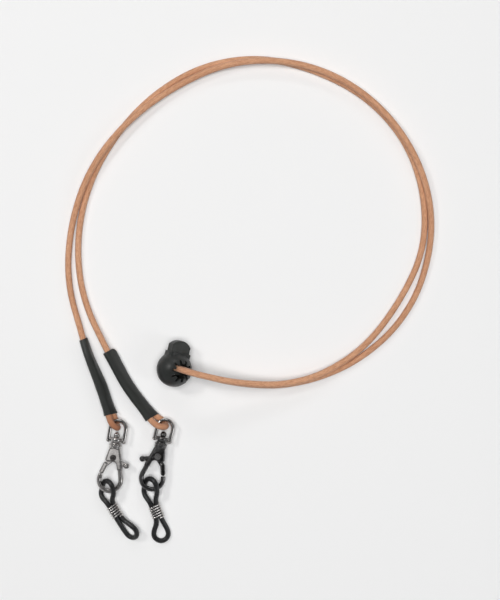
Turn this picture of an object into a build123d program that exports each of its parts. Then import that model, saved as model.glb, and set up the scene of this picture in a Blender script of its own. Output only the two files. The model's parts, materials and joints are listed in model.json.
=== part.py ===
"""Eyeglasses strap: a round leather cord doubled through a ball cord lock, a swivel clasp and a rubber temple
loop on each end.

Millimetres, +Z up, laid on a table at z = 0. The origin is under the middle of the two clasps, their loops and
the cord lock. The leather runs from the lock round a big open ring to the two sleeves.
"""

import math
import os

from build123d import *

# leather cord and the heat-shrink sleeves that hold its folded ends
CORD_D = 2.5
CORD_R = CORD_D / 2
SLEEVE_WALL = 0.4

# ball cord lock: its ball, where it lies, and which way its mouth and its plunger point
BALL_R = 7.0
LOCK_CENTRE = Vector(16.0, 28.8, BALL_R)
MOUTH_RISE = 57.0
MOUTH_HEADING = -13.0
MOUTH_R = 2.9
MOUTH_SLOT_W = 0.9
MOUTH_SLOT_REACH = 4.4
MOUTH_SLOT_FLOOR = 4.5
MOUTH_SLOTS = 10
HEAD_W, HEAD_T = 8.1, 3.8
STEM_W, STEM_T = 6.8, 3.8
PLUNGER_GAP = 0.1
HEAD_STEP, HEAD_EDGE, HEAD_TOP = 3.0, 9.7, 11.6
STEM_FOOT = -2.0
CHANNEL_FLOOR = -5.0
PLUNGER_TRAVEL = 2.5
CROSS_HOLE_W, CROSS_HOLE_LOW, CROSS_HOLE_HIGH = 5.6, -0.5, 4.7
STRAND_SPREAD = 1.3
STRAND_SHIFT = 0.8
BIGHT_DEPTH = -4.2
SPRING_WIRE_R, SPRING_R, SPRING_TURNS = 0.15, 1.3, 4
SPRING_POCKET = 1.0

# swivel lobster clasp, in its own frame: rivet at the origin, +Y to the bail, +Z through its thickness
CLASP_Z = 3.55
BAIL_WIRE_R, BAIL_HALF, BAIL_FOOT, BAIL_BAR_Y, BAIL_ARC_Y = 0.75, 3.15, 6.6, 6.95, 11.65
BARREL_R, BARREL_LOW, BARREL_HIGH, BARREL_BORE_R = 1.9, 6.0, 7.9, 0.85
POST_R, POST_LOW, POST_BALL_Y, POST_BALL_R = 0.8, 3.2, 8.9, 1.25
COLLAR_R, COLLAR_LOW, COLLAR_HIGH = 2.0, 3.8, 5.8
BODY_T, SLOT_T, SLOT_LOW, SLOT_HIGH = 3.2, 1.7, -3.9, 2.0
HOOK_R, HOOK_CENTRE_Y, BAR_R, BAR_LEAN = 4.35, -9.1, 0.95, 14.4
BAR_TOP_Y, HOOK_TIP_Y = -4.2, -7.3
LEVER_T, HUB_R = 1.5, 1.6
GATE_W, GATE_T = 1.8, 1.9
TAB_END, TAB_W, TAB_PAD_R, TAB_PAD_T = (5.7, -2.5), 1.7, 1.1, 2.4
PIN_R, PIN_HEAD_R, PIN_HEAD_T, PIN_FIT = 0.9, 1.25, 0.3, 0.03
TORSION_WIRE_R, TORSION_R, TORSION_Z = 0.13, 1.2, -0.48

# rubber temple loop and the wire coil that slides along it
RUBBER_R = 0.9
RUBBER_HALF_GAP = 0.93
COIL_WIRE_R, COIL_TURNS, COIL_PITCH = 0.28, 7, 0.8
COIL_HALF_W, COIL_HALF_T, COIL_CORNER_R = 2.18, 1.25, 1.0
COIL_EXIT = 0.8

# where each clasp lies: its rivet, and how far its axis leans to +X
CLASPS = {"left": ((-8.4, -6.5), 9.0, -1), "right": ((9.3, -6.0), 14.5, 1)}


def unit(degrees):
    """The horizontal direction this far anticlockwise from +Y."""
    return Vector(-math.sin(math.radians(degrees)), math.cos(math.radians(degrees)), 0)


mouth_axis = Vector(1, 0, 0).rotate(Axis.Y, -MOUTH_RISE).rotate(Axis.Z, MOUTH_HEADING)
plunger_axis = Vector(0, 1, 0).rotate(Axis.Z, MOUTH_HEADING)
# in the lock's own frame x points out of the mouth, y along the plunger, z from the lower strand to the upper one
LOCK = Plane(origin=LOCK_CENTRE, x_dir=mouth_axis, z_dir=mouth_axis.cross(plunger_axis))


def in_lock(depth, upper):
    """A point of a strand inside the lock, this far out along the mouth."""
    return LOCK.from_local_coords(Vector(depth, STRAND_SHIFT, STRAND_SPREAD if upper else -STRAND_SPREAD))


# the routes of the two strands, from the hairpin inside the lock round to the cut end inside the sleeve.
# the lower strand of the lock ends at the left clasp and the upper strand at the right clasp
LEFT_ROUTE = [
    in_lock(BIGHT_DEPTH, False),
    in_lock(6.4, False),
    (22.6, 28.0, 13.1),
    (25.2, 27.2, 13.6),
    (29.9, 25.6, 12.7),
    (37.3, 23.3, 9.9),
    (47.8, 21.6, 6.2),
    (60.1, 21.3, 3.3),
    (76.0, 25.2, 1.5),
    (91.0, 33.2, 1.25),
    (105.0, 45.5, 1.25),
    (115.0, 62.5, 1.25),
    (120.3, 85.5, 1.9),
    (115.1, 108.0, 4.1),
    (102.8, 128.7, 3.9),
    (84.5, 144.0, 3.9),
    (62.1, 151.8, 3.95),
    (38.2, 151.2, 3.8),
    (16.5, 141.9, 2.5),
    (-2.6, 128.0, 4.0),
    (-17.5, 109.4, 4.1),
    (-25.6, 87.6, 1.8),
    (-27.4, 63.5, 1.25),
    (-20.6, 40.6, 1.9),
    (-19.1, 33.7, 3.2),
    (-14.4, 21.7, 3.4),
    (-12.0, 14.9, 3.75),
    (-10.3, 10.2, 4.1),
    (-8.9, 6.9, 6.45),
    (-6.4, 5.0, 4.2),
    (-7.2, 6.1, 1.25),
    (-7.95, 8.6, 1.25),
    (-8.7, 10.8, 2.1),
    (-10.2, 15.5, 2.1),
    (-12.4, 22.4, 1.85),
    (-17.0, 34.5, 1.75),
]
RIGHT_ROUTE = [
    in_lock(BIGHT_DEPTH, True),
    in_lock(7.0, True),
    (21.6, 28.3, 15.6),
    (25.2, 27.3, 16.3),
    (30.6, 25.6, 15.3),
    (38.2, 23.5, 12.4),
    (48.5, 22.1, 8.8),
    (60.5, 21.9, 5.9),
    (75.5, 26.3, 4.2),
    (92.4, 37.5, 1.9),
    (106.2, 55.8, 1.25),
    (115.9, 76.4, 1.25),
    (115.9, 99.5, 1.25),
    (108.0, 120.9, 1.25),
    (92.4, 137.8, 1.25),
    (72.1, 148.3, 1.25),
    (49.8, 153.6, 1.25),
    (27.1, 150.1, 1.25),
    (7.3, 138.6, 1.25),
    (-8.2, 121.9, 1.25),
    (-19.1, 101.8, 1.25),
    (-23.5, 79.4, 1.25),
    (-21.1, 56.6, 1.25),
    (-11.25, 35.0, 1.7),
    (-3.85, 21.85, 2.4),
    (2.6, 12.9, 3.1),
    (6.2, 8.7, 3.9),
    (9.3, 6.1, 6.4),
    (12.9, 5.6, 4.1),
    (11.9, 6.8, 1.25),
    (10.3, 8.8, 1.25),
    (7.8, 10.0, 2.2),
    (4.6, 14.4, 2.45),
    (-1.65, 23.35, 2.4),
    (-9.15, 36.2, 2.9),
]

# each sleeve's sections, top first: middle, direction along the sleeve, width over the pair, roll of the pair
SLEEVES = {
    "left": [
        ((-20.6, 40.6, 1.9), -158.5, 0.4, 0.0),
        ((-17.7, 33.1, 2.45), -158.5, 2.5, 34.0),
        ((-11.1, 15.2, 2.95), -161.1, 2.55, 40.0),
        ((-9.5, 10.5, 3.1), -161.1, 2.6, 50.0),
    ],
    "right": [
        ((-10.2, 35.6, 2.3), -150.1, 2.6, -27.0),
        ((-2.75, 22.6, 2.4), -146.8, 2.6, 0.0),
        ((3.6, 13.65, 2.8), -142.0, 2.6, 15.0),
        ((7.0, 9.3, 3.05), -140.0, 2.6, 40.0),
    ],
}


def corner_radii(points, end_reach=None):
    """At each corner, the radius whose arc takes 0.45 of the shorter run, or end_reach at the first and last."""
    radii = []
    for before, at, after in zip(points, points[1:], points[2:]):
        into, out = at - before, after - at
        half_turn = math.radians(into.get_angle(out)) / 2
        reach = 0.45 * min(into.length, out.length)
        if end_reach and len(radii) in (0, len(points) - 3):
            reach = min(reach, end_reach)
        radii.append(reach / math.tan(half_turn))
    return radii


def rod(points, radius, radii):
    """A round rod along straight runs joined by tangent arcs."""
    path = FilletPolyline(*points, radius=radii)
    return sweep(Plane(origin=path @ 0, z_dir=path % 0) * Circle(radius), path=path)


def cord(name, route):
    """One strand of the leather, with its length and its tightest corners printed."""
    points = [Vector(*p) for p in route]
    radii = corner_radii(points)
    tube = rod(points, CORD_R, radii)
    length = FilletPolyline(*points, radius=radii).length
    print(f"{name}: length {length:.1f}, volume {tube.volume:.1f} of {math.pi * CORD_R**2 * length:.1f}")
    print("  radii", [round(r, 1) for r in radii])
    return tube


def bight():
    """The hairpin behind the lock's mouth, where the two strands are one cord."""
    middle = LOCK.from_local_coords(Vector(BIGHT_DEPTH, STRAND_SHIFT, 0))
    section = Plane(origin=middle + LOCK.z_dir * STRAND_SPREAD, z_dir=mouth_axis) * Circle(CORD_R)
    return revolve(section, Axis(middle, plunger_axis * -1), 180)


def oval(width, height):
    """A stadium section, or a circle where it is as wide as it is high."""
    if width - height < 1e-6:
        return Circle(height / 2)
    return SlotOverall(width, height)


def sleeve(sections, cords):
    """Heat-shrink tube over the pair of strands, hollow where they run."""
    height = CORD_D + 2 * SLEEVE_WALL
    rings = []
    for middle, heading, spread, roll in sections:
        along = unit(heading)
        across = along.cross(Vector(0, 0, 1)).rotate(Axis(Vector(0, 0, 0), along), -roll)
        ring = Plane(origin=Vector(*middle), x_dir=across, z_dir=along) * oval(height + spread, height)
        rings.append(ring)
    return loft(rings) - cords


def lock_body():
    """The ball, with its shoulder round the plunger, the plunger's channel and the mouth with its slots."""
    head_w, head_t = HEAD_W + 2 * PLUNGER_GAP, HEAD_T + 2 * PLUNGER_GAP
    stem_w, stem_t = STEM_W + 2 * PLUNGER_GAP, STEM_T + 2 * PLUNGER_GAP
    shoulder = extrude(Plane(origin=(0, 3.5, 0), x_dir=(0, 0, 1), z_dir=(0, 1, 0))
                       * RectangleRounded(head_w + 1.5, head_t + 1.9, 1.6), 3.3)
    body = Sphere(BALL_R) + shoulder
    floor = HEAD_STEP - PLUNGER_TRAVEL - 0.2
    pocket_h, channel_h = BALL_R + 1 - floor, floor - CHANNEL_FLOOR
    body -= Pos(0, floor + pocket_h / 2, 0) * Box(head_t, pocket_h, head_w)
    body -= Pos(0, CHANNEL_FLOOR + channel_h / 2, 0) * Box(stem_t, channel_h + 0.01, stem_w)
    body -= Rot(0, 90, 0) * Cylinder(MOUTH_R, 3 * BALL_R)
    slot_depth = BALL_R - MOUTH_SLOT_FLOOR
    for end in (-1, 1):
        for n in range(MOUTH_SLOTS):
            slot = Pos(end * (MOUTH_SLOT_FLOOR + slot_depth / 2), 0, 0)
            slot *= Rot(360 * n / MOUTH_SLOTS + 18, 0, 0)
            slot *= Pos(0, MOUTH_SLOT_REACH / 2, 0)
            body -= slot * Box(slot_depth, MOUTH_SLOT_REACH, MOUTH_SLOT_W)
    return LOCK * body


def lock_plunger():
    """The spring button: a domed head, a narrower stem and the cross hole that pinches the strands."""
    half = HEAD_W / 2
    with BuildSketch(Plane.YZ) as side:
        with BuildLine():
            Polyline((HEAD_EDGE, half), (HEAD_STEP, half), (HEAD_STEP, STEM_W / 2), (STEM_FOOT, STEM_W / 2),
                     (STEM_FOOT, -STEM_W / 2), (HEAD_STEP, -STEM_W / 2), (HEAD_STEP, -half), (HEAD_EDGE, -half))
            ThreePointArc((HEAD_EDGE, -half), (HEAD_TOP, 0), (HEAD_EDGE, half))
        make_face()
    plunger = extrude(side.sketch, HEAD_T / 2, both=True)
    plunger = fillet(plunger.edges().filter_by(GeomType.CIRCLE), 0.5)
    hole_h = CROSS_HOLE_HIGH - CROSS_HOLE_LOW
    plunger -= Pos(0, CROSS_HOLE_LOW + hole_h / 2, 0) * Box(2 * HEAD_T, hole_h, CROSS_HOLE_W)
    pocket = Cylinder(SPRING_R + SPRING_WIRE_R + 0.1, SPRING_POCKET)
    plunger -= Pos(0, STEM_FOOT + SPRING_POCKET / 2, 0) * Rot(90, 0, 0) * pocket
    return LOCK * plunger


def helix_rod(pitch, height, radius, wire_r):
    """A coil spring standing on z = 0."""
    path = Helix(pitch, height, radius)
    return sweep(Plane(origin=path @ 0, z_dir=path % 0) * Circle(wire_r), path=path, is_frenet=True)


def lock_spring():
    """The compression spring under the plunger."""
    bottom, top = CHANNEL_FLOOR + SPRING_WIRE_R + 0.02, STEM_FOOT + SPRING_POCKET - SPRING_WIRE_R - 0.02
    coil = helix_rod((top - bottom) / SPRING_TURNS, top - bottom, SPRING_R, SPRING_WIRE_R)
    return LOCK * Pos(0, bottom, 0) * Rot(-90, 0, 0) * coil


def bail():
    """The swivel eye: a bent wire with a cross bar and a barrel that turns on the post."""
    with BuildLine() as line:
        Line((-BAIL_HALF, BAIL_FOOT), (-BAIL_HALF, BAIL_ARC_Y))
        ThreePointArc((-BAIL_HALF, BAIL_ARC_Y), (0, BAIL_ARC_Y + BAIL_HALF), (BAIL_HALF, BAIL_ARC_Y))
        Line((BAIL_HALF, BAIL_ARC_Y), (BAIL_HALF, BAIL_FOOT))
    path = line.wire()
    eye = sweep(Plane(origin=path @ 0, z_dir=path % 0) * Circle(BAIL_WIRE_R), path=path)
    eye += Pos(0, BAIL_BAR_Y, 0) * Rot(0, 90, 0) * Cylinder(BAIL_WIRE_R, 2 * BAIL_HALF)
    for x in (-BAIL_HALF, BAIL_HALF):
        eye += Pos(x, BAIL_FOOT, 0) * Sphere(BAIL_WIRE_R + 0.06)
    barrel_h = BARREL_HIGH - BARREL_LOW
    barrel = Cylinder(BARREL_R, barrel_h)
    barrel = fillet(barrel.edges().filter_by(GeomType.CIRCLE), 0.35)
    eye += Pos(0, BARREL_LOW + barrel_h / 2, 0) * Rot(90, 0, 0) * barrel
    return eye - Pos(0, BARREL_LOW + barrel_h / 2, 0) * Rot(90, 0, 0) * Cylinder(BARREL_BORE_R, barrel_h + 1)


def swivel_post():
    """The post that the bail turns on, pressed into the clasp's collar, with its ball head."""
    pin = Pos(0, (POST_LOW + POST_BALL_Y) / 2, 0) * Rot(90, 0, 0) * Cylinder(POST_R, POST_BALL_Y - POST_LOW)
    return pin + Pos(0, POST_BALL_Y, 0) * Sphere(POST_BALL_R)


def bar_x(y):
    """The hook bar's distance from the clasp's axis, on its straight stretch."""
    tangent_x = HOOK_R * math.cos(math.radians(BAR_LEAN))
    tangent_y = HOOK_CENTRE_Y + HOOK_R * math.sin(math.radians(BAR_LEAN))
    return tangent_x - (y - tangent_y) * math.tan(math.radians(BAR_LEAN))


def clasp_body(gate):
    """Collar, slotted plate and hook in one casting. The gate closes the side that gate's sign gives."""
    edge = (BAR_R + 0.12) / math.cos(math.radians(BAR_LEAN))
    strip_end = BAR_TOP_Y - 0.5
    outline = [
        (2.1 * gate, 3.9),
        (-2.1 * gate, 3.9),
        (-gate * (bar_x(strip_end) + edge), strip_end),
        (-gate * (bar_x(strip_end) - edge), strip_end),
        (-gate * (bar_x(-2.4) - edge), -2.4),
        (-gate * 0.8, -1.7),
        (gate * 2.4, -1.9),
        (gate * 3.1, -1.2),
    ]
    plate = extrude(make_face(Polyline(*outline, close=True)), BODY_T / 2, both=True)
    plate = chamfer(plate.edges().group_by(Axis.Z)[0] + plate.edges().group_by(Axis.Z)[-1], 0.3)
    slot_h = SLOT_HIGH - SLOT_LOW
    plate -= Pos(0, SLOT_LOW + slot_h / 2, 0) * Box(20, slot_h, SLOT_T)

    tangent_y = HOOK_CENTRE_Y + HOOK_R * math.sin(math.radians(BAR_LEAN))
    with BuildLine() as line:
        Line((-gate * bar_x(BAR_TOP_Y), BAR_TOP_Y), (-gate * bar_x(tangent_y), tangent_y))
        ThreePointArc((-gate * bar_x(tangent_y), tangent_y), (0, HOOK_CENTRE_Y - HOOK_R),
                      (gate * bar_x(tangent_y), tangent_y))
        Line((gate * bar_x(tangent_y), tangent_y), (gate * bar_x(HOOK_TIP_Y), HOOK_TIP_Y))
    path = line.wire()
    hook = sweep(Plane(origin=path @ 0, z_dir=path % 0) * Circle(BAR_R), path=path)

    collar_h = COLLAR_HIGH - COLLAR_LOW
    collar = fillet(Cylinder(COLLAR_R, collar_h).edges().filter_by(GeomType.CIRCLE), 0.3)
    body = plate + hook + Pos(0, COLLAR_LOW + collar_h / 2, 0) * Rot(90, 0, 0) * collar
    post_h = COLLAR_HIGH - POST_LOW + 1
    body -= Pos(0, POST_LOW + post_h / 2, 0) * Rot(90, 0, 0) * Cylinder(POST_R, post_h)
    return body - Cylinder(PIN_R, 2 * BODY_T)


def arm(start, end, width, thickness):
    """A flat arm with round ends."""
    start, end = Vector(*start), Vector(*end)
    middle = (start + end) / 2
    turn = math.degrees(math.atan2(end.Y - start.Y, end.X - start.X))
    slot = SlotCenterToCenter((end - start).length, width)
    return extrude(Pos(middle.X, middle.Y, 0) * Rot(0, 0, turn) * slot, thickness / 2, both=True)


def trigger_lever(gate):
    """Gate, hub and thumb tab in one piece, with a recess for the torsion spring."""
    gate_end = (gate * bar_x(-6.1), -6.1)
    gate_start = (gate * 2.75, -3.2)
    lever = Cylinder(HUB_R, LEVER_T)
    lever += arm((0, -0.5), (-gate * TAB_END[0], TAB_END[1]), TAB_W, LEVER_T)
    lever += arm((0, -0.4), gate_start, GATE_W, LEVER_T)
    gate_bar = arm(gate_start, gate_end, GATE_W, GATE_T)
    lever += fillet(gate_bar.edges().group_by(Axis.Z)[0] + gate_bar.edges().group_by(Axis.Z)[-1], 0.4)
    pad = Cylinder(TAB_PAD_R, TAB_PAD_T)
    pad = fillet(pad.edges().filter_by(GeomType.CIRCLE), 0.5)
    lever += Pos(-gate * TAB_END[0], TAB_END[1], 0) * pad
    recess_r, recess_h = TORSION_R + 0.25, LEVER_T / 2 + 0.1
    recess = Pos(0, 0, -recess_h / 2 - 0.1) * Cylinder(recess_r, recess_h)
    recess += Pos(0, recess_r, -recess_h / 2 - 0.1) * Box(2 * recess_r, 2 * recess_r, recess_h)
    return lever - recess - Cylinder(PIN_R + PIN_FIT, 2 * LEVER_T)


def lever_pin():
    """The rivet through both cheeks, with a low head on each."""
    pin = Cylinder(PIN_R, BODY_T)
    for z in (-1, 1):
        pin += Pos(0, 0, z * (BODY_T + PIN_HEAD_T) / 2) * Cylinder(PIN_HEAD_R, PIN_HEAD_T)
    return pin


def lever_spring():
    """The torsion spring round the rivet, one leg against the body above the slot."""
    turns = 1.2
    pitch = 3 * TORSION_WIRE_R
    coil = Pos(0, 0, TORSION_Z - pitch * turns / 2) * helix_rod(pitch, pitch * turns, TORSION_R, TORSION_WIRE_R)
    leg_z = TORSION_Z - pitch * turns / 2
    leg_h = SLOT_HIGH - 0.02
    return coil + Pos(TORSION_R, leg_h / 2, leg_z) * Rot(90, 0, 0) * Cylinder(TORSION_WIRE_R, leg_h)


def clasp_plane(side):
    (x, y), lean, _ = CLASPS[side]
    return Plane(origin=(x, y, CLASP_Z), x_dir=unit(-lean).cross(Vector(0, 0, 1)), z_dir=(0, 0, 1))


# each rubber loop: upper tip inside the hook, its heading and half widths (level, upright), the coil's two end
# middles and the roll of the pair there, then the lower tip, its heading and its half widths
LOOPS = {
    "left": {
        "top": ((-11.4, -15.9, 3.55), 15.0, (2.14, 2.1)),
        "coil": ((-9.32, -25.64, 3.2), (-6.68, -30.2, 3.0), 40.0),
        "bottom": ((0.34, -38.28, 2.75), -138.5, (2.15, 1.8)),
    },
    "right": {
        "top": ((5.7, -15.0, 3.55), 13.6, (2.4, 2.1)),
        "coil": ((7.6, -25.5, 2.85), (9.54, -30.8, 2.35), 22.0),
        "bottom": ((10.76, -40.1, 0.95), -172.6, (2.9, 0.0)),
    },
}
EYE_BACK = 2.4


def eye(tip, heading, half, back):
    """The corners round one end of a loop, from its +X side over its tip to its other side."""
    along = unit(heading)
    level = unit(heading).cross(Vector(0, 0, 1))
    if level.X < 0:
        level = level * -1
    across = level * half[0] + Vector(0, 0, half[1])
    r = across.length
    across = across / r
    cut = r * math.tan(math.radians(22.5))
    middle = Vector(*tip) - along * r
    spots = [(r, -back), (r, cut), (cut, r), (-cut, r), (-r, cut), (-r, -back)]
    return [middle + across * x + along * y for x, y in spots]


def coil_frame(side):
    """The coil's own frame: z down the loop, x across the pair of rubber strands towards +X."""
    top, bottom, roll = LOOPS[side]["coil"]
    top, bottom = Vector(*top), Vector(*bottom)
    along = (bottom - top).normalized()
    level = Vector(0, 0, 1).cross(along).normalized()
    across = level * math.cos(math.radians(roll)) + along.cross(level) * -math.sin(math.radians(roll))
    return Plane(origin=(top + bottom) / 2, x_dir=across, z_dir=along)


def rubber_loop(side):
    """A figure of eight in round rubber: one eye on the hook, one for the temple, the pair held by the coil."""
    frame = coil_frame(side)
    reach = COIL_TURNS * COIL_PITCH / 2 + COIL_WIRE_R + COIL_EXIT

    def strand(x, z):
        return frame.from_local_coords(Vector(x * RUBBER_HALF_GAP, 0, z))

    halves = []
    for name, z in (("top", -reach), ("bottom", reach)):
        tip, heading, half = LOOPS[side][name]
        back = EYE_BACK if name == "top" else 1.0
        corners = eye(tip, heading, half, back)
        points = [strand(1, 0), strand(1, z), *corners, strand(-1, z), strand(-1, 0)]
        halves.append(rod(points, RUBBER_R, corner_radii(points, COIL_EXIT)))
    return halves[0] + halves[1]


def loop_coil(side):
    """Close oval turns of steel wire round both strands of the rubber."""
    corners = [(1, -1), (1, 1), (-1, 1), (-1, -1)]
    start = -COIL_TURNS * COIL_PITCH / 2
    points = []
    for n in range(4 * COIL_TURNS + 1):
        x, y = corners[n % 4]
        points.append(Vector(x * COIL_HALF_W, y * COIL_HALF_T, start + n * COIL_PITCH / 4))
    return coil_frame(side) * rod(points, COIL_WIRE_R, [COIL_CORNER_R] * (len(points) - 2))


def save(name, shape):
    shape.label = name
    export_step(shape, f"parts/{name}.step")


os.makedirs("parts", exist_ok=True)

cord_left = cord("cord_left", LEFT_ROUTE)
cord_right = cord("cord_right", RIGHT_ROUTE)
save("cord_left", cord_left)
save("cord_right", cord_right)
save("cord_bight", bight())
save("sleeve_left", sleeve(SLEEVES["left"], cord_left))
save("sleeve_right", sleeve(SLEEVES["right"], cord_right))
save("lock_body", lock_body())
save("lock_plunger", lock_plunger())
save("lock_spring", lock_spring())

for side, (_, _, gate) in CLASPS.items():
    place = clasp_plane(side)
    save(f"bail_{side}", place * bail())
    save(f"swivel_post_{side}", place * swivel_post())
    save(f"clasp_body_{side}", place * clasp_body(gate))
    save(f"trigger_lever_{side}", place * trigger_lever(gate))
    save(f"lever_pin_{side}", place * lever_pin())
    save(f"lever_spring_{side}", place * lever_spring())
    save(f"rubber_loop_{side}", rubber_loop(side))
    save(f"loop_coil_{side}", loop_coil(side))
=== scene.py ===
"""Looks of the eyeglasses strap: leather, shrink sleeves, ball cord lock, swivel clasps and rubber loops."""

import json
import math

import bpy
from mathutils import Matrix, Vector, noise

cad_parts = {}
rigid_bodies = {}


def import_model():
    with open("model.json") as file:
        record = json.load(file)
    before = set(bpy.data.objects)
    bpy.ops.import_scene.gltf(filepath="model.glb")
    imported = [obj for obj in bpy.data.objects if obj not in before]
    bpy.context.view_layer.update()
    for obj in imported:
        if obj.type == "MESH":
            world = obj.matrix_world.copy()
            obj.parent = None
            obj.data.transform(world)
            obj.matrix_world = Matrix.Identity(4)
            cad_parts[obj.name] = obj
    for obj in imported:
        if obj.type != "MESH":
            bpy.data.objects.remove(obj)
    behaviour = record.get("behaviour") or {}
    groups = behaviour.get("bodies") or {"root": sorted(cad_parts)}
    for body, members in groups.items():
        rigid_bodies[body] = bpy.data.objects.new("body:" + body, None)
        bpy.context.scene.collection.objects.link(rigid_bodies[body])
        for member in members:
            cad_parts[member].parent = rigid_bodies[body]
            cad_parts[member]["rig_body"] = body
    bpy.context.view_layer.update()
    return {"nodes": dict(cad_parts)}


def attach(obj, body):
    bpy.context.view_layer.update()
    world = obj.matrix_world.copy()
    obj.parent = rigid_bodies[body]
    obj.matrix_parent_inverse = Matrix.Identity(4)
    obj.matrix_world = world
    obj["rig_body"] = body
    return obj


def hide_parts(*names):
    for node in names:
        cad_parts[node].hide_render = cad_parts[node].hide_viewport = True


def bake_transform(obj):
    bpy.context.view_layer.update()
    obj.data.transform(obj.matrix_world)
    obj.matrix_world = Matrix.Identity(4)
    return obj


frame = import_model()
nodes = frame["nodes"]
MM = 0.001

# ---------------------------------------------------------------- view and light
scene = bpy.context.scene
scene.view_settings.view_transform = "Standard"
scene.view_settings.look = "None"

VIEW_AT = Vector((46.0, 56.2, 1.25)) * MM
camera = bpy.data.objects.new("camera", bpy.data.cameras.new("camera"))
camera.data.lens, camera.data.sensor_width = 85, 36
camera.location = VIEW_AT + Vector((0, 0, 0.240 * 85 / 36))
scene.collection.objects.link(camera)
scene.camera = camera


def area_light(name, place, aim, size, power, colour=(1, 1, 1)):
    data = bpy.data.lights.new(name, "AREA")
    data.shape, data.size, data.size_y = "RECTANGLE", size[0], size[1]
    data.energy, data.color = power, colour
    light = bpy.data.objects.new(name, data)
    light.location = place
    light.rotation_euler = (Vector(aim) - Vector(place)).to_track_quat("-Z", "Y").to_euler()
    scene.collection.objects.link(light)
    return light


area_light("key", (-0.55, 0.40, 0.85), VIEW_AT, (0.18, 0.18), 2.3, (1.0, 0.99, 0.975))
area_light("side", (0.80, -0.20, 0.62), VIEW_AT, (0.22, 0.40), 0.9, (0.97, 0.985, 1.0))
area_light("back", (0.05, 0.95, 0.62), VIEW_AT, (0.60, 0.10), 1.1)
area_light("window", (-0.20, -0.15, 1.10), (0, 0, 0), (0.10, 0.34), 0.10)
# the broad light overhead shows in no reflection, as a lens looking down through it would hide it
area_light("overhead", VIEW_AT + Vector((0, 0, 1.5)), VIEW_AT, (0.8, 0.8), 18.0).visible_glossy = False

# a dim ceiling over a bright band of wall, so that polished metal shows both
world = bpy.data.worlds.new("studio")
scene.world = world
world.use_nodes = True
sky = world.node_tree
height = sky.nodes.new("ShaderNodeSeparateXYZ")
sky.links.new(sky.nodes.new("ShaderNodeTexCoord").outputs["Generated"], height.inputs[0])
bands = sky.nodes.new("ShaderNodeValToRGB")
sky.links.new(height.outputs["Z"], bands.inputs["Fac"])
for at, level in ((0.0, 0.55), (0.25, 0.75), (0.60, 1.0), (0.80, 0.55), (0.93, 0.12)):
    stop = bands.color_ramp.elements.new(at)
    stop.color = (level * 0.97, level * 0.985, level, 1)
bands.color_ramp.elements[-1].color = (0.10, 0.10, 0.10, 1)
sky.links.new(bands.outputs["Color"], sky.nodes["Background"].inputs["Color"])
sky.nodes["Background"].inputs["Strength"].default_value = 0.45
world.cycles_visibility.diffuse = False


# ---------------------------------------------------------------- materials
class Look:
    """One node material, built from a few plain steps."""

    def __init__(self, name, **values):
        self.mat = bpy.data.materials.new(name)
        self.mat.use_nodes = True
        self.tree = self.mat.node_tree
        self.shader = self.tree.nodes["Principled BSDF"]
        for key, value in values.items():
            self.shader.inputs[key.replace("_", " ")].default_value = value

    def node(self, kind, links=(), **settings):
        made = self.tree.nodes.new(kind)
        for key, value in settings.items():
            setattr(made, key, value)
        for socket, source in dict(links).items():
            if isinstance(source, bpy.types.NodeSocket):
                self.tree.links.new(source, made.inputs[socket])
            else:
                made.inputs[socket].default_value = source
        return made

    def place(self):
        """Object coordinates in millimetres."""
        at = self.node("ShaderNodeTexCoord").outputs["Object"]
        return self.stretch(at, (1 / MM,) * 3)

    def attribute(self, name):
        return self.node("ShaderNodeAttribute", attribute_name=name).outputs["Vector"]

    def stretch(self, vector, scale):
        return self.node("ShaderNodeVectorMath", {0: vector, 1: scale}, operation="MULTIPLY").outputs[0]

    def noise(self, vector, scale, detail=3.0, rough=0.55, warp=0.0):
        links = {"Vector": vector, "Scale": scale, "Detail": detail, "Roughness": rough, "Distortion": warp}
        return self.node("ShaderNodeTexNoise", links).outputs["Fac"]

    def ramp(self, value, *stops):
        made = self.node("ShaderNodeValToRGB", {"Fac": value})
        elements = made.color_ramp.elements
        while len(elements) < len(stops):
            elements.new(0.5)
        for element, (at, colour) in zip(elements, stops):
            element.position = at
            element.color = (*colour, 1) if isinstance(colour, tuple) else (colour, colour, colour, 1)
        return made.outputs["Color"]

    def mix(self, share, a, b, how="MIX"):
        made = self.node("ShaderNodeMix", data_type="RGBA", blend_type=how)
        for at, source in ((0, share), (6, a), (7, b)):
            if isinstance(source, bpy.types.NodeSocket):
                self.tree.links.new(source, made.inputs[at])
            elif at == 0:
                made.inputs[0].default_value = source
            else:
                made.inputs[at].default_value = (*source, 1)
        return made.outputs[2]

    def math(self, how, a, b):
        return self.node("ShaderNodeMath", {0: a, 1: b}, operation=how).outputs[0]

    def colour(self, source):
        self.tree.links.new(source, self.shader.inputs["Base Color"])

    def rough(self, source):
        self.tree.links.new(source, self.shader.inputs["Roughness"])

    def bump(self, *layers):
        """Each layer is a height, its depth in millimetres and its strength."""
        last = None
        for height, depth, strength in layers:
            links = {"Height": height, "Distance": depth * MM, "Strength": strength}
            if last is not None:
                links["Normal"] = last
            last = self.node("ShaderNodeBump", links).outputs["Normal"]
        self.tree.links.new(last, self.shader.inputs["Normal"])


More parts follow.
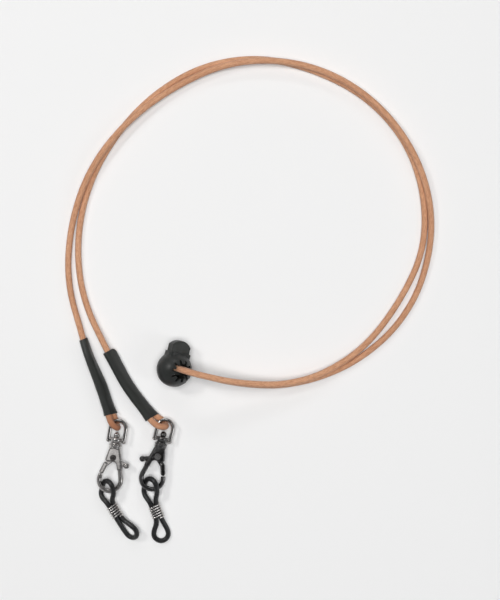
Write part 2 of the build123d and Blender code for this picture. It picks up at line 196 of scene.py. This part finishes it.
def leather(name, from_attribute=True):
    """Undyed round leather: fibres along the cord, pores, and a slow drift from honey to rose tan."""
    look = Look(name, Specular_IOR_Level=0.35, Sheen_Weight=0.12, Sheen_Roughness=0.5)
    at = look.attribute("grain") if from_attribute else look.place()
    fibre = look.noise(look.stretch(at, (0.55, 3.2, 3.2)), 1.0, 4.0, 0.6)
    pores = look.noise(look.stretch(at, (3.0, 4.5, 4.5)), 1.3, 3.0, 0.65)
    drift = look.noise(look.stretch(at, (0.05, 0.4, 0.4)), 1.0, 2.0, 0.5)
    tan = look.ramp(drift, (0.30, (0.63, 0.335, 0.195)), (0.70, (0.72, 0.40, 0.24)))
    tan = look.mix(look.ramp(fibre, (0.36, 0.75), (0.60, 0.0)), tan, (0.42, 0.185, 0.095))
    tan = look.mix(look.ramp(pores, (0.56, 0.0), (0.70, 0.6)), tan, (0.34, 0.15, 0.075))
    # darker, browner at tight bends: partly the fold's own darker leather, partly painted shade
    bend = look.node("ShaderNodeAttribute", attribute_name="bend").outputs["Fac"]
    tan = look.mix(look.math("MULTIPLY", bend, 0.8), tan, (0.33, 0.13, 0.065))
    look.colour(tan)
    look.rough(look.ramp(pores, (0.3, 0.5), (0.75, 0.68)))
    look.bump((fibre, 0.10, 0.55), (pores, 0.05, 0.5))
    return look.mat


def shrink_sleeve():
    """Satin heat-shrink tube, drawn lengthwise, a little greyer where it is rubbed."""
    look = Look("shrink_sleeve", Specular_IOR_Level=0.5, Coat_Weight=0.08, Coat_Roughness=0.35)
    at = look.attribute("grain")
    drawn = look.noise(look.stretch(at, (0.25, 1.6, 1.6)), 1.0, 3.0, 0.5)
    grit = look.noise(at, 5.0, 3.0, 0.6)
    dark = look.ramp(drawn, (0.35, (0.017, 0.0185, 0.017)), (0.7, (0.026, 0.028, 0.0255)))
    look.colour(look.mix(look.ramp(grit, (0.6, 0.0), (0.75, 0.5)), dark, (0.045, 0.046, 0.042)))
    look.rough(look.ramp(drawn, (0.35, 0.40), (0.7, 0.54)))
    look.bump((drawn, 0.10, 0.35), (grit, 0.02, 0.35))
    return look.mat


def plastic(name, low, high, rough_low, rough_high, depth=0.02):
    """Moulded black plastic with a fine spark-eroded texture and faint flow marks."""
    look = Look(name, Specular_IOR_Level=0.5)
    at = look.place()
    flow = look.noise(look.stretch(at, (0.5, 0.35, 0.5)), 0.6, 2.0, 0.5, 0.4)
    grit = look.noise(at, 7.0, 4.0, 0.65)
    look.colour(look.mix(look.ramp(grit, (0.5, 0.0), (0.72, 0.7)), low, high))
    look.rough(look.ramp(flow, (0.35, rough_low), (0.65, rough_high)))
    look.bump((grit, depth, 0.5), (flow, 0.08, 0.15))
    return look.mat


def rubber(name):
    """Black silicone rubber cord, smooth with a dusty bloom in patches."""
    look = Look(name, Specular_IOR_Level=0.55)
    at = look.place()
    bloom = look.noise(at, 0.5, 3.0, 0.6, 0.6)
    dust = look.noise(at, 6.0, 4.0, 0.65)
    base = look.ramp(bloom, (0.4, (0.0085, 0.0085, 0.009)), (0.7, (0.015, 0.015, 0.0155)))
    look.colour(look.mix(look.ramp(dust, (0.62, 0.0), (0.76, 0.45)), base, (0.05, 0.05, 0.05)))
    look.rough(look.ramp(bloom, (0.35, 0.26), (0.68, 0.42)))
    look.bump((dust, 0.012, 0.4), (bloom, 0.10, 0.25))
    return look.mat


def metal(name, low, high, rough_low, rough_high, ripple=0.06):
    """Plated casting: polished, with cloudy tone, fine tumbling marks and paler worn high spots."""
    look = Look(name, Metallic=1.0)
    at = look.place()
    cloud = look.noise(at, 0.45, 2.0, 0.5, 0.8)
    marks = look.noise(look.stretch(at, (1.5, 4.0, 4.0)), 2.0, 3.0, 0.6)
    wear = look.noise(at, 1.6, 4.0, 0.7)
    tone = look.ramp(cloud, (0.35, low), (0.68, high))
    pale = tuple(min(1.0, 1.5 * c + 0.04) for c in high)
    look.colour(look.mix(look.ramp(wear, (0.60, 0.0), (0.78, 0.35)), tone, pale))
    look.rough(look.ramp(marks, (0.35, rough_low), (0.7, rough_high)))
    look.bump((cloud, ripple, 0.6), (marks, 0.008, 0.3))
    return look.mat


def wire(name, low, high, rough_low, rough_high):
    """Drawn wire: bright, with fine die lines."""
    look = Look(name, Metallic=1.0)
    at = look.place()
    lines = look.noise(at, 6.0, 3.0, 0.6)
    look.colour(look.ramp(look.noise(at, 1.2, 3.0, 0.6), (0.35, low), (0.7, high)))
    look.rough(look.ramp(lines, (0.35, rough_low), (0.7, rough_high)))
    look.bump((lines, 0.006, 0.3))
    return look.mat


LEATHER = leather("leather")
LEATHER_INSIDE = leather("leather_inside", False)
SLEEVE = shrink_sleeve()
LOCK_BODY = plastic("lock_plastic", (0.014, 0.0155, 0.0145), (0.026, 0.028, 0.026), 0.36, 0.48)
LOCK_PLUNGER = plastic("lock_plunger", (0.017, 0.0185, 0.0165), (0.030, 0.032, 0.029), 0.40, 0.52)
RUBBER = rubber("black_rubber")
SPRING = wire("spring_steel", (0.42, 0.42, 0.43), (0.62, 0.62, 0.62), 0.18, 0.32)
COIL = wire("coil_steel", (0.62, 0.60, 0.58), (0.86, 0.83, 0.81), 0.08, 0.16)
# the clasps are one gunmetal in two copies: the left painted lighter as painted reflection, the right painted
# darker as painted shade
GUNMETAL_LIT_AND_SHADED = {
    "left": metal("gunmetal_painted_reflection", (0.44, 0.42, 0.41), (0.56, 0.54, 0.525), 0.05, 0.11, 0.01),
    "right": metal("gunmetal_painted_shade", (0.12, 0.118, 0.12), (0.20, 0.195, 0.193), 0.03, 0.07, 0.01),
}
# the rivets likewise are one metal in two copies: the left painted darker as painted shade, the right painted
# lighter as painted reflection
RIVET_LIT_AND_SHADED = {
    "left": metal("rivet_painted_shade", (0.12, 0.11, 0.11), (0.30, 0.28, 0.27), 0.2, 0.35),
    "right": metal("rivet_painted_reflection", (0.30, 0.29, 0.29), (0.50, 0.49, 0.48), 0.25, 0.4),
}


def dress(piece, look, smooth=True):
    piece.data.materials.clear()
    piece.data.materials.append(look)
    if smooth and piece.type == "MESH":
        piece.data.shade_smooth()


def dress_node(name, look):
    for at in range(len(nodes[name].material_slots)):
        nodes[name].material_slots[at].link = "OBJECT"
        nodes[name].material_slots[at].material = look


# ---------------------------------------------------------------- lines and tubes
def nurbs_points(points, resolution=24):
    """Points along the smooth line that has these control points, in millimetres."""
    curve = bpy.data.curves.new("line", "CURVE")
    curve.dimensions = "3D"
    spline = curve.splines.new("NURBS")
    spline.points.add(len(points) - 1)
    for point, at in zip(spline.points, points):
        point.co = (*at, 1)
    spline.order_u = 3
    spline.use_endpoint_u = True
    spline.resolution_u = resolution
    holder = bpy.data.objects.new("line", curve)
    mesh = bpy.data.meshes.new_from_object(holder)
    line = [v.co.copy() for v in mesh.vertices]
    bpy.data.objects.remove(holder)
    bpy.data.curves.remove(curve)
    bpy.data.meshes.remove(mesh)
    return line


def evenly(line, step):
    """The same line with its points this far apart."""
    lengths = [0.0]
    for a, b in zip(line, line[1:]):
        lengths.append(lengths[-1] + (b - a).length)
    count = max(2, round(lengths[-1] / step))
    out, at = [], 0
    for i in range(count + 1):
        goal = lengths[-1] * i / count
        while at < len(line) - 2 and lengths[at + 1] < goal:
            at += 1
        span = max(lengths[at + 1] - lengths[at], 1e-9)
        out.append(line[at].lerp(line[at + 1], (goal - lengths[at]) / span))
    return out, lengths[-1]


def carried_frames(line):
    """For each point: its direction and two directions across it that don't twist."""
    along = [(line[min(i + 1, len(line) - 1)] - line[max(i - 1, 0)]).normalized() for i in range(len(line))]
    side = along[0].orthogonal().normalized()
    frames = []
    for direction in along:
        side = (side - direction * side.dot(direction)).normalized()
        frames.append((direction, side, direction.cross(side)))
    return frames


def skin(name, rings, grain, bends=None):
    """A mesh over rings of points in millimetres, with a vector for each point that materials read."""
    sides = len(rings[0])
    verts = [p * MM for ring in rings for p in ring]
    faces = []
    for i in range(len(rings) - 1):
        for j in range(sides):
            k = (j + 1) % sides
            faces.append((i * sides + j, i * sides + k, (i + 1) * sides + k, (i + 1) * sides + j))
    grains = [g for ring in grain for g in ring]
    for ring, turn in ((0, -1), (len(rings) - 1, 1)):
        middle = sum(rings[ring], Vector()) / sides
        verts.append(middle * MM)
        grains.append(grains[ring * sides])
        for j in range(sides):
            face = (ring * sides + j, ring * sides + (j + 1) % sides, len(verts) - 1)
            faces.append(face if turn > 0 else face[::-1])
    mesh = bpy.data.meshes.new(name)
    mesh.from_pydata(verts, [], faces)
    store = mesh.attributes.new("grain", "FLOAT_VECTOR", "POINT")
    store.data.foreach_set("vector", [c for g in grains for c in g])
    if bends:
        spread = [b for b in bends for _ in range(sides)] + [bends[0], bends[-1]]
        mesh.attributes.new("bend", "FLOAT", "POINT").data.foreach_set("value", spread)
    mesh.update()
    piece = bpy.data.objects.new(name, mesh)
    scene.collection.objects.link(piece)
    return piece


def bends_of(line, reach, tight):
    """How sharply a line bends at each point: 1 where its radius is tight or less, 0 where it is straight."""
    bends = []
    for i in range(len(line)):
        a, b, c = line[max(i - reach, 0)], line[i], line[min(i + reach, len(line) - 1)]
        into, out = b - a, c - b
        if min(into.length, out.length) < 1e-6:
            bends.append(0.0)
            continue
        bends.append(min(1.0, into.angle(out) / ((into.length + out.length) / 2) * tight))
    return [sum(bends[max(i - reach, 0):i + reach + 1]) / len(bends[max(i - reach, 0):i + reach + 1])
            for i in range(len(bends))]


def tube(name, line, radius, sides=20, bends=None):
    """A round tube along a line. radius is a number or a function of distance along and angle."""
    rings, grains, distance = [], [], 0.0
    frames = carried_frames(line)
    for i, (point, (_, side, up)) in enumerate(zip(line, frames)):
        if i:
            distance += (point - line[i - 1]).length
        ring, grain = [], []
        for j in range(sides):
            angle = 2 * math.pi * j / sides
            r = radius(distance, angle) if callable(radius) else radius
            ring.append(point + (side * math.cos(angle) + up * math.sin(angle)) * r)
            grain.append((distance, r * math.cos(angle), r * math.sin(angle)))
        rings.append(ring)
        grains.append(grain)
    return skin(name, rings, grains, bends)


def unit(degrees):
    return Vector((-math.sin(math.radians(degrees)), math.cos(math.radians(degrees)), 0))


# ---------------------------------------------------------------- leather strands
CORD_R = 1.25
# the routes of the two strands, from the hairpin inside the lock round to the cut end inside the sleeve
ROUTES = {
    "left": [
        (15.013, 29.849, 2.770), (20.638, 28.550, 11.660), (22.6, 28.0, 13.1), (25.2, 27.2, 13.6),
        (29.9, 26.0, 12.7), (37.3, 24.0, 9.9), (47.8, 22.4, 6.2), (60.1, 22.1, 3.3), (76.0, 25.7, 1.5),
        (91.0, 33.2, 1.25), (105.0, 45.5, 1.25), (115.0, 62.5, 1.25), (119.5, 85.5, 1.9),
        (115.1, 108.0, 4.1), (102.8, 128.7, 3.9), (84.5, 144.0, 3.9), (62.1, 151.8, 3.95),
        (38.2, 151.2, 3.8), (16.5, 141.9, 2.5), (-2.6, 128.0, 4.0), (-17.5, 109.4, 4.1),
        (-25.6, 87.6, 1.8), (-27.4, 63.5, 1.25), (-20.6, 40.6, 1.9), (-18.8, 33.8, 4.0),
        (-14.0, 21.85, 4.05), (-11.7, 15.0, 4.1), (-10.3, 10.2, 4.1), (-8.9, 6.9, 6.45), (-6.4, 5.0, 4.2),
        (-7.2, 6.1, 1.25), (-7.95, 8.6, 1.25), (-8.7, 10.8, 2.1), (-10.5, 15.4, 1.9),
        (-12.8, 22.25, 1.75), (-17.9, 34.1, 1.65),
    ],
    "right": [
        (12.889, 30.339, 4.186), (18.833, 28.967, 13.579), (21.6, 28.3, 15.6), (25.2, 27.3, 16.3),
        (30.6, 26.0, 15.3), (38.2, 24.2, 12.4), (48.5, 22.9, 8.8), (60.5, 22.7, 5.9), (75.5, 26.7, 4.2),
        (92.4, 37.5, 1.9), (106.2, 55.8, 1.25), (115.9, 76.4, 1.25), (115.9, 99.5, 1.25),
        (108.0, 120.9, 1.25), (92.4, 137.8, 1.25), (72.1, 148.3, 1.25), (49.8, 153.6, 1.25),
        (27.1, 150.1, 1.25), (7.3, 138.6, 1.25), (-8.2, 121.9, 1.25), (-19.1, 101.8, 1.25),
        (-23.5, 79.4, 1.25), (-21.1, 56.6, 1.25), (-10.6, 35.3, 3.95), (-3.55, 22.0, 3.95),
        (2.95, 13.1, 3.95), (6.2, 8.7, 3.9), (9.3, 6.1, 6.4), (12.9, 5.6, 4.1), (11.9, 6.8, 1.25),
        (10.3, 8.8, 1.25), (7.8, 10.0, 2.2), (4.15, 14.05, 1.9), (-2.2, 22.85, 1.75), (-9.35, 35.95, 1.7),
    ],
}


def strand(side):
    line, _ = evenly(nurbs_points(ROUTES[side]), 0.6)
    # the second number scales the darkening at tight bends, partly painted shade: strong on the left strand,
    # weak on the right where light falls
    seed, fold_wear_and_shade = {"left": (3.0, 6.0), "right": (11.0, 1.6)}[side]

    def radius(distance, angle):
        slow = noise.noise((distance * 0.06, seed, 0))
        skinned = noise.noise((distance * 0.5, 2 * math.cos(angle) + seed, 2 * math.sin(angle)))
        return CORD_R * (0.985 + 0.012 * slow + 0.006 * skinned)

    piece = tube(f"strand_{side}", line, radius, 24, bends_of(line, 3, fold_wear_and_shade))
    dress(piece, LEATHER)
    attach(piece, "strap")
    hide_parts(f"cord_{side}")


for side in ("left", "right"):
    strand(side)
dress_node("cord_bight", LEATHER_INSIDE)

# ---------------------------------------------------------------- heat-shrink sleeves
# sections from the top down: middle, heading of the sleeve, width added by the pair, roll of the pair
SLEEVES = {
    "left": [
        ((-20.6, 40.6, 1.95), -158.5, 0.0, 66.0),
        ((-18.0, 33.3, 2.85), -158.5, 2.3, 80.0),
        ((-13.4, 22.05, 2.9), -159.8, 2.5, 61.0),
        ((-11.1, 15.2, 3.0), -161.1, 2.5, 60.0),
        ((-9.5, 10.5, 3.1), -161.1, 2.7, 48.0),
    ],
    "right": [
        ((-10.1, 35.6, 2.75), -150.1, 2.6, 50.0),
        ((-2.9, 22.4, 2.85), -146.8, 2.6, 54.0),
        ((3.55, 13.6, 2.9), -142.0, 2.6, 52.0),
        ((7.0, 9.3, 3.05), -140.0, 2.9, 37.0),
    ],
}
SLEEVE_H = 3.3


def eased(values, at):
    """Catmull-Rom through values, at a place from 0 to their count less one."""
    i = min(int(at), len(values) - 2)
    t = at - i
    a, b = values[i], values[i + 1]
    before = values[i - 1] if i else a + (a - b)
    after = values[i + 2] if i + 2 < len(values) else b + (b - a)
    return 0.5 * (2 * a + (b - before) * t + (2 * before - 5 * a + 4 * b - after) * t * t
                  + (3 * a - before - 3 * b + after) * t * t * t)


def sleeve(side):
    sections = SLEEVES[side]
    middles = [Vector(s[0]) for s in sections]
    count, sides = 72, 40
    run = [0.0]
    for a, b in zip(middles, middles[1:]):
        run.append(run[-1] + (b - a).length)
    rings, grains = [], []

    def ring_at(distance, shrink, slant):
        i = 0
        while i < len(run) - 2 and run[i + 1] < distance:
            i += 1
        place = i + (distance - run[i]) / (run[i + 1] - run[i])
        middle = eased(middles, place)
        heading, spread, roll = (eased([s[n] for s in sections], place) for n in (1, 2, 3))
        along = unit(heading)
        across = Matrix.Rotation(math.radians(-roll), 3, along) @ along.cross(Vector((0, 0, 1)))
        up = across.cross(along)
        half, s = SLEEVE_H / 2 - shrink, max(spread, 0.0) / 2
        flare = 0.10 * math.exp(-((run[-1] - distance) / 1.2) ** 2) + 0.05 * math.exp(-(distance / 0.8) ** 2)
        ring, grain = [], []
        for j in range(sides):
            angle = 2 * math.pi * j / sides
            c = math.cos(angle)
            x = s * max(-1.0, min(1.0, 1.9 * c)) + (half + flare) * c
            waist = 0.05 * min(1.0, s / 1.25) * math.exp(-(x / 0.75) ** 2)
            wobble = 0.05 * noise.noise((distance * 0.22, c * 1.3, math.sin(angle) * 1.3 + len(side)))
            crease = 0.035 * noise.noise((distance * 0.9, c * 2.5 + 7, math.sin(angle) * 2.5))
            y = (half + flare) * math.sin(angle) * (1 - waist)
            spot = across * x + up * y
            spot += spot.normalized() * (wobble + crease) * (0 if shrink else 1)
            ring.append(middle + spot + along * slant(x))
            grain.append((distance, x, y))
        rings.append(ring)
        grains.append(grain)

    if side == "right":
        def top(x):
            return -0.45 + 2.2 * max(0.0, min(1.0, (-0.9 - x) / 2.0)) ** 1.2

        def bottom(x):
            return -0.16 * x
    else:
        def top(x):
            return 0.02 * x

        def bottom(x):
            return -0.12 * x

    def cut(at):
        """How far a section slants, from the top cut to the bottom cut."""
        share_top = max(0.0, 1 - at / 4.0) ** 2
        share_bottom = max(0.0, 1 - (run[-1] - at) / 4.0) ** 2
        return lambda x: top(x) * share_top + bottom(x) * share_bottom

    # down inside the top opening, round its rim, along the outside, and up inside the bottom opening
    for distance, shrink in ((2.0, 0.42), (0.25, 0.42), (0.02, 0.30), (0.0, 0.12)):
        ring_at(distance, shrink, cut(distance))
    for i in range(count + 1):
        at = 0.06 + (run[-1] - 0.12) * i / count
        ring_at(at, 0.0, cut(at))
    for distance, shrink in ((0.0, 0.12), (0.02, 0.30), (0.25, 0.42), (2.0, 0.42)):
        ring_at(run[-1] - distance, shrink, cut(run[-1] - distance))
    piece = skin(f"sleeve_skin_{side}", rings, grains)
    dress(piece, SLEEVE)
    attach(piece, "strap")
    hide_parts(f"sleeve_{side}")


for side in ("left", "right"):
    sleeve(side)

# ---------------------------------------------------------------- rubber loops
RUBBER_R = 1.0
RUBBER_HALF_GAP = 0.93
COIL_LENGTH, COIL_WIRE_R, COIL_EXIT, EYE_BACK = 5.6, 0.28, 0.8, 2.4
# the drawn coil: its wire, its half width and half thickness, its turns, and how square they are
TURN_WIRE_R, TURN_HALF_W, TURN_HALF_T, TURNS, SQUARE = 0.31, 2.25, 1.30, 5.5, 0.7
# how far the upper eye's low side leans out; the upper tip, heading and half widths; the coil's end middles
# and roll; the lower tip, heading and half widths
LOOPS = {
    "left": {
        "lean": 1.8,
        "top": ((-11.4, -15.9, 3.55), 15.0, (2.14, 2.1)),
        "coil": ((-9.32, -25.64, 3.2), (-6.68, -30.2, 3.0), 40.0),
        "bottom": ((0.34, -38.28, 2.75), -138.5, (2.15, 1.8)),
    },
    "right": {
        "lean": 1.3,
        "top": ((5.7, -15.0, 3.55), 13.6, (2.4, 2.1)),
        "coil": ((7.6, -25.5, 2.85), (9.54, -30.8, 2.35), 22.0),
        "bottom": ((10.76, -40.1, 0.95), -172.6, (2.9, 0.0)),
    },
}


def eye(tip, heading, half, back):
    """The corners round one end of a loop, from its +X side over its tip to its other side."""
    along = unit(heading)
    level = along.cross(Vector((0, 0, 1)))
    if level.x < 0:
        level = -level
    across = level * half[0] + Vector((0, 0, half[1]))
    r = across.length
    across = across / r
    cut = r * math.tan(math.radians(22.5))
    middle = Vector(tip) - along * r
    spots = [(r, -back), (r, cut), (cut, r), (-cut, r), (-r, cut), (-r, -back)]
    return [middle + across * x + along * y for x, y in spots]


def waist(side):
    """A loop's middle, its direction there, and the direction from one of its strands to the other."""
    top, bottom, roll = LOOPS[side]["coil"]
    top, bottom = Vector(top), Vector(bottom)
    along = (bottom - top).normalized()
    level = Vector((0, 0, 1)).cross(along).normalized()
    across = level * math.cos(math.radians(roll)) - along.cross(level) * math.sin(math.radians(roll))
    return (top + bottom) / 2, along, across


def rubber_loop(side):
    middle, along, across = waist(side)
    reach = COIL_LENGTH / 2 + COIL_WIRE_R + COIL_EXIT

    def in_coil(x, z):
        return middle + across * x * RUBBER_HALF_GAP + along * z

    for name, z in (("top", -reach), ("bottom", reach)):
        tip, heading, half = LOOPS[side][name]
        corners = eye(tip, heading, half, EYE_BACK if name == "top" else 1.0)
        if name == "top":
            level = unit(heading).cross(Vector((0, 0, 1)))
            low = corners[-1] - level * math.copysign(LOOPS[side]["lean"], level.x)
            low.z = max(low.z, RUBBER_R + 0.15)
            corners[-1] = low
        points = [in_coil(1, 0), in_coil(1, z), *corners, in_coil(-1, z), in_coil(-1, 0)]
        line, _ = evenly(nurbs_points(points), 0.35)
        piece = tube(f"rubber_{side}_{name}", line, RUBBER_R, 20)
        dress(piece, RUBBER)
        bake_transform(piece)
        if name == "top":
            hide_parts(f"rubber_loop_{side}")


def wire_coil(side):
    """Oval turns of bright wire round both strands of the rubber, with the rubber dark between them."""
    middle, along, across = waist(side)
    through = along.cross(across)
    steps = 48

    def rounded_square(value):
        return math.copysign(abs(value) ** SQUARE, value)

    line = []
    for n in range(int(TURNS * steps) + 1):
        angle = 2 * math.pi * (n / steps - 0.25)
        x, y = TURN_HALF_W * rounded_square(math.cos(angle)), TURN_HALF_T * rounded_square(math.sin(angle))
        z = COIL_LENGTH * (n / (TURNS * steps) - 0.5)
        line.append(middle + across * x + through * y + along * z)
    line, _ = evenly(line, 0.25)
    piece = tube(f"wire_coil_{side}", line, TURN_WIRE_R, 12)
    dress(piece, COIL)
    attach(piece, f"coil_{side}")
    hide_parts(f"loop_coil_{side}")


for side in ("left", "right"):
    rubber_loop(side)
    wire_coil(side)

# ---------------------------------------------------------------- swivel rings
# each clasp's rivet, and how far its axis leans to +X
CLASPS = {"left": ((-8.4, -6.5), 9.0), "right": ((9.3, -6.0), 14.5)}
CLASP_Z = 3.55
# outlines of the turned rings, as distance up the clasp's axis and radius
BARREL = [(5.95, 0.95), (5.97, 1.7), (6.1, 1.95), (6.35, 2.06), (6.5, 2.24), (7.45, 2.24), (7.75, 2.12),
          (7.95, 1.75), (8.02, 0.95)]
COLLAR = [(3.55, 0.95), (3.56, 2.1), (3.68, 2.34), (3.95, 2.46), (4.2, 2.46), (4.38, 2.3), (4.45, 2.3),
          (4.6, 2.5), (4.85, 2.58), (5.1, 2.56), (5.3, 2.42), (5.4, 2.0), (5.42, 0.95)]


def turned_ring(side, name, outline, body):
    """A lathe-turned ring round the swivel's axis."""
    (x, y), lean = CLASPS[side]
    along = unit(-lean)
    across, sides = along.cross(Vector((0, 0, 1))), 48
    rings, grains = [], []
    for height, radius in outline:
        angles = [2 * math.pi * j / sides for j in range(sides)]
        middle = Vector((x, y, CLASP_Z)) + along * height
        level = [across * radius * math.cos(a) for a in angles]
        rings.append([middle + x + Vector((0, 0, radius * math.sin(a))) for x, a in zip(level, angles)])
        grains.append([(height, radius * math.cos(a), radius * math.sin(a)) for a in angles])
    piece = skin(f"{name}_{side}", rings, grains)
    dress(piece, GUNMETAL_LIT_AND_SHADED[side])
    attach(piece, f"{body}_{side}")


for side in CLASPS:
    turned_ring(side, "swivel_barrel", BARREL, "eye")
    turned_ring(side, "swivel_collar", COLLAR, "clasp")

# ---------------------------------------------------------------- lock, clasps and coils
def rounded(node, name, voxel, passes, swell, look):
    """A node's own shape, with the soft edges and small fillets of a casting or moulding, in its place."""
    mesh = nodes[node].data.copy()
    piece = bpy.data.objects.new(name, mesh)
    scene.collection.objects.link(piece)
    weld = piece.modifiers.new("weld", "WELD")
    weld.merge_threshold = 1e-6
    remesh = piece.modifiers.new("remesh", "REMESH")
    remesh.mode, remesh.voxel_size, remesh.use_smooth_shade = "VOXEL", voxel * MM, True
    full = piece.modifiers.new("full", "DISPLACE")
    full.strength, full.mid_level = swell * MM, 0.0
    soften = piece.modifiers.new("soften", "SMOOTH")
    soften.factor, soften.iterations = 0.5, passes
    bpy.context.view_layer.update()
    done = bpy.data.meshes.new_from_object(piece.evaluated_get(bpy.context.evaluated_depsgraph_get()))
    piece.modifiers.clear()
    piece.data = done
    bpy.data.meshes.remove(mesh)
    dress(piece, look)
    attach(piece, nodes[node]["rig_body"])
    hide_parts(node)
    return piece


def pressed_spring():
    """The lock's spring, held by the ball at one end and by the button at the other."""
    piece = bpy.data.objects.new("lock_coil", nodes["lock_spring"].data.copy())
    scene.collection.objects.link(piece)
    piece.matrix_world = nodes["lock_spring"].matrix_world.copy()
    dress(piece, SPRING)
    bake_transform(piece)
    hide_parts("lock_spring")


rounded("lock_body", "lock_ball", 0.14, 4, 0.0, LOCK_BODY)
rounded("lock_plunger", "lock_button", 0.12, 5, 0.0, LOCK_PLUNGER)
pressed_spring()
for side in ("left", "right"):
    rounded(f"clasp_body_{side}", f"clasp_casting_{side}", 0.11, 8, 0.0, GUNMETAL_LIT_AND_SHADED[side])
    rounded(f"trigger_lever_{side}", f"trigger_{side}", 0.10, 5, 0.05, GUNMETAL_LIT_AND_SHADED[side])
    # both bails take the gunmetal painted lighter as painted reflection
    dress_node(f"bail_{side}", GUNMETAL_LIT_AND_SHADED["left"])
    dress_node(f"swivel_post_{side}", GUNMETAL_LIT_AND_SHADED[side])
    dress_node(f"lever_pin_{side}", RIVET_LIT_AND_SHADED[side])
    dress_node(f"lever_spring_{side}", SPRING)

# ---------------------------------------------------------------- table
floor_mesh = bpy.data.meshes.new("table")
floor_mesh.from_pydata([(-4, -4, 0), (4, -4, 0), (4, 4, 0), (-4, 4, 0)], [], [(0, 1, 2, 3)])
table = bpy.data.objects.new("table", floor_mesh)
scene.collection.objects.link(table)
paper = Look("paper", Base_Color=(0.88, 0.88, 0.88, 1), Roughness=0.85, Specular_IOR_Level=0.2)
table.data.materials.append(paper.mat)
